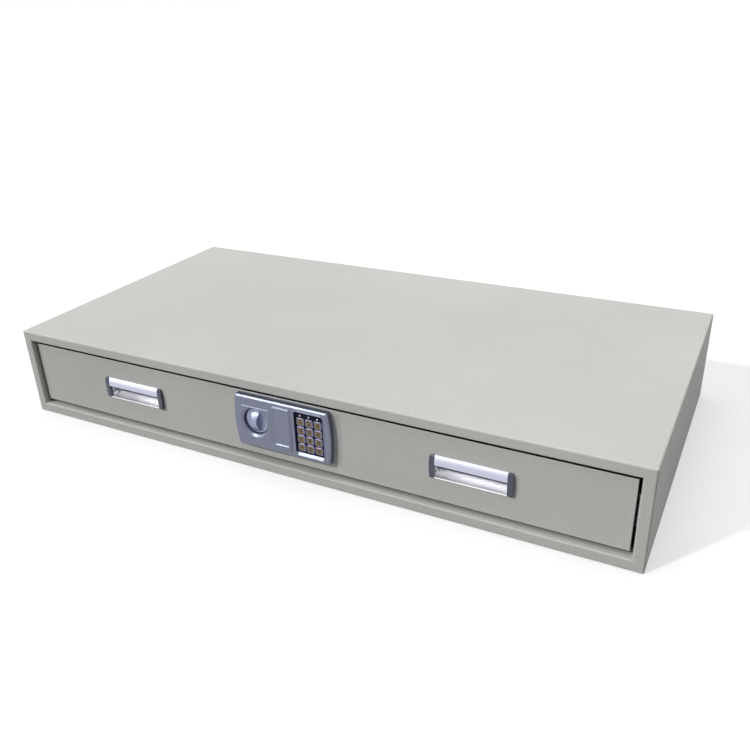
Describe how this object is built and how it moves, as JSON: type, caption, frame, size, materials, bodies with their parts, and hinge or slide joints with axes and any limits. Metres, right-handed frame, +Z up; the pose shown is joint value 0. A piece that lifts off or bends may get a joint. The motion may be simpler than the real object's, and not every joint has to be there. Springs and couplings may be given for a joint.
{
  "type": "under-bed safe",
  "caption": "Low, wide steel safe with one drawer on ball-bearing slides, recessed pulls, a keypad, an override key lock and a turn knob that throws locking bolts.",
  "frame": {"origin": "centre of the casing's base, on the floor", "axes": "+X to the right seen from the front, +Y from the front to the back, +Z up"},
  "size_m": [1.219, 0.6155, 0.178],
  "materials": {
    "case_paint": "fine matt powder coat",
    "zinc_steel": "zinc plated",
    "bright_steel": "polished",
    "lock_silver": "silver paint with a satin finish",
    "pull_aluminium": "satin with a brushed trough",
    "cap_plastic": "gloss",
    "black_plastic": "gloss",
    "key_rubber": "satin",
    "lamp_clear": "clear",
    "board": "lacquered",
    "lock_brass": "satin",
    "nylon": "matt",
    "cell_wrap": "gloss sleeve",
    "cable_black": "matt",
    "red_plastic": "gloss"
  },
  "bodies": {
    "casing": {"casing_shell": "case_paint", "back_panel": "case_paint", "strike_bar": "zinc_steel", "slide_bracket_left": "zinc_steel", "slide_bracket_right": "zinc_steel", "outer_rail_left": "zinc_steel", "outer_rail_right": "zinc_steel", "rail_rivets": "bright_steel"},
    "drawer": {"drawer_tray": "case_paint", "tray_front": "case_paint", "drawer_front": "case_paint", "inner_rail_left": "zinc_steel", "inner_rail_right": "zinc_steel", "drawer_screws": "bright_steel", "handle_left": "pull_aluminium", "handle_right": "pull_aluminium", "handle_caps": "cap_plastic", "lock_housing": "lock_silver", "keypad_window": "black_plastic", "status_lights": "lamp_clear", "keypad_board": "board", "key_barrel": "lock_brass", "barrel_nut": "zinc_steel", "knob_bush": "nylon", "guide_studs": "bright_steel", "solenoid_body": "zinc_steel", "lock_cover": "zinc_steel", "battery_case": "black_plastic", "battery_contacts": "bright_steel", "batteries": "cell_wrap", "reset_switch": "black_plastic", "cable": "cable_black"},
    "middle_rail_left": {"middle_rail_left": "zinc_steel"},
    "middle_rail_right": {"middle_rail_right": "zinc_steel"},
    "ball_cage_outer_left": {"ball_cage_outer_left": "bright_steel"},
    "ball_cage_outer_right": {"ball_cage_outer_right": "bright_steel"},
    "ball_cage_inner_left": {"ball_cage_inner_left": "bright_steel"},
    "ball_cage_inner_right": {"ball_cage_inner_right": "bright_steel"},
    "knob": {"knob": "lock_silver", "knob_spindle": "bright_steel"},
    "bolt_carrier": {"bolt_carrier": "zinc_steel", "locking_bolts": "bright_steel"},
    "solenoid_plunger": {"solenoid_plunger": "bright_steel"},
    "key_plug": {"key_plug": "lock_brass", "key_cam": "zinc_steel"},
    "key_cover": {"key_cover": "lock_silver"},
    "battery_door": {"battery_door": "black_plastic"},
    "reset_button": {"reset_button": "red_plastic"},
    "key_1": {"key_1": "key_rubber"},
    "key_2": {"key_2": "key_rubber"},
    "key_3": {"key_3": "key_rubber"},
    "key_4": {"key_4": "key_rubber"},
    "key_5": {"key_5": "key_rubber"},
    "key_6": {"key_6": "key_rubber"},
    "key_7": {"key_7": "key_rubber"},
    "key_8": {"key_8": "key_rubber"},
    "key_9": {"key_9": "key_rubber"},
    "key_star": {"key_star": "key_rubber"},
    "key_0": {"key_0": "key_rubber"},
    "key_hash": {"key_hash": "key_rubber"}
  },
  "joints": [
    {"name": "drawer_slide", "type": "slide", "parent": "casing", "child": "drawer", "axis": [0, -1, 0], "range_m": [0, 0.5]},
    {"name": "middle_rail_left_slide", "type": "slide", "parent": "casing", "child": "middle_rail_left", "axis": [0, -1, 0], "range_m": [0, 0.25]},
    {"name": "ball_cage_outer_left_slide", "type": "slide", "parent": "casing", "child": "ball_cage_outer_left", "axis": [0, -1, 0], "range_m": [0, 0.125]},
    {"name": "ball_cage_inner_left_slide", "type": "slide", "parent": "casing", "child": "ball_cage_inner_left", "axis": [0, -1, 0], "range_m": [0, 0.375]},
    {"name": "middle_rail_right_slide", "type": "slide", "parent": "casing", "child": "middle_rail_right", "axis": [0, -1, 0], "range_m": [0, 0.25]},
    {"name": "ball_cage_outer_right_slide", "type": "slide", "parent": "casing", "child": "ball_cage_outer_right", "axis": [0, -1, 0], "range_m": [0, 0.125]},
    {"name": "ball_cage_inner_right_slide", "type": "slide", "parent": "casing", "child": "ball_cage_inner_right", "axis": [0, -1, 0], "range_m": [0, 0.375]},
    {"name": "knob_turn", "type": "hinge", "parent": "drawer", "child": "knob", "pos_m": [-0.054, -0.3, 0.099], "axis": [0, -1, 0], "range_deg": [0, 90]},
    {"name": "bolt_throw", "type": "slide", "parent": "drawer", "child": "bolt_carrier", "axis": [0, 0, 1], "range_m": [0, 0.017]},
    {"name": "plunger_slide", "type": "slide", "parent": "drawer", "child": "solenoid_plunger", "axis": [-1, 0, 0], "range_m": [0, 0.005]},
    {"name": "key_plug_turn", "type": "hinge", "parent": "drawer", "child": "key_plug", "pos_m": [0.0018, -0.29, 0.099], "axis": [0, -1, 0], "range_deg": [0, 90]},
    {"name": "key_cover_pull", "type": "slide", "parent": "drawer", "child": "key_cover", "axis": [0, -1, 0], "range_m": [0, 0.012]},
    {"name": "battery_door_slide", "type": "slide", "parent": "drawer", "child": "battery_door", "axis": [0, 0, 1], "range_m": [0, 0.014]},
    {"name": "reset_press", "type": "slide", "parent": "drawer", "child": "reset_button", "axis": [0, -1, 0], "range_m": [0, 0.0015], "stiffness_N_per_m": 300},
    {"name": "key_1_press", "type": "slide", "parent": "drawer", "child": "key_1", "axis": [0, 1, 0], "range_m": [0, 0.001], "stiffness_N_per_m": 400},
    {"name": "key_2_press", "type": "slide", "parent": "drawer", "child": "key_2", "axis": [0, 1, 0], "range_m": [0, 0.001], "stiffness_N_per_m": 400},
    {"name": "key_3_press", "type": "slide", "parent": "drawer", "child": "key_3", "axis": [0, 1, 0], "range_m": [0, 0.001], "stiffness_N_per_m": 400},
    {"name": "key_4_press", "type": "slide", "parent": "drawer", "child": "key_4", "axis": [0, 1, 0], "range_m": [0, 0.001], "stiffness_N_per_m": 400},
    {"name": "key_5_press", "type": "slide", "parent": "drawer", "child": "key_5", "axis": [0, 1, 0], "range_m": [0, 0.001], "stiffness_N_per_m": 400},
    {"name": "key_6_press", "type": "slide", "parent": "drawer", "child": "key_6", "axis": [0, 1, 0], "range_m": [0, 0.001], "stiffness_N_per_m": 400},
    {"name": "key_7_press", "type": "slide", "parent": "drawer", "child": "key_7", "axis": [0, 1, 0], "range_m": [0, 0.001], "stiffness_N_per_m": 400},
    {"name": "key_8_press", "type": "slide", "parent": "drawer", "child": "key_8", "axis": [0, 1, 0], "range_m": [0, 0.001], "stiffness_N_per_m": 400},
    {"name": "key_9_press", "type": "slide", "parent": "drawer", "child": "key_9", "axis": [0, 1, 0], "range_m": [0, 0.001], "stiffness_N_per_m": 400},
    {"name": "key_star_press", "type": "slide", "parent": "drawer", "child": "key_star", "axis": [0, 1, 0], "range_m": [0, 0.001], "stiffness_N_per_m": 400},
    {"name": "key_0_press", "type": "slide", "parent": "drawer", "child": "key_0", "axis": [0, 1, 0], "range_m": [0, 0.001], "stiffness_N_per_m": 400},
    {"name": "key_hash_press", "type": "slide", "parent": "drawer", "child": "key_hash", "axis": [0, 1, 0], "range_m": [0, 0.001], "stiffness_N_per_m": 400}
  ],
  "couplings": [
    {"joint": "middle_rail_left_slide", "follows": "drawer_slide", "ratio": 0.5},
    {"joint": "ball_cage_outer_left_slide", "follows": "drawer_slide", "ratio": 0.25},
    {"joint": "ball_cage_inner_left_slide", "follows": "drawer_slide", "ratio": 0.75},
    {"joint": "middle_rail_right_slide", "follows": "drawer_slide", "ratio": 0.5},
    {"joint": "ball_cage_outer_right_slide", "follows": "drawer_slide", "ratio": 0.25},
    {"joint": "ball_cage_inner_right_slide", "follows": "drawer_slide", "ratio": 0.75},
    {"joint": "knob_turn", "follows": "bolt_throw", "rad_per_m": 92.39}
  ]
}
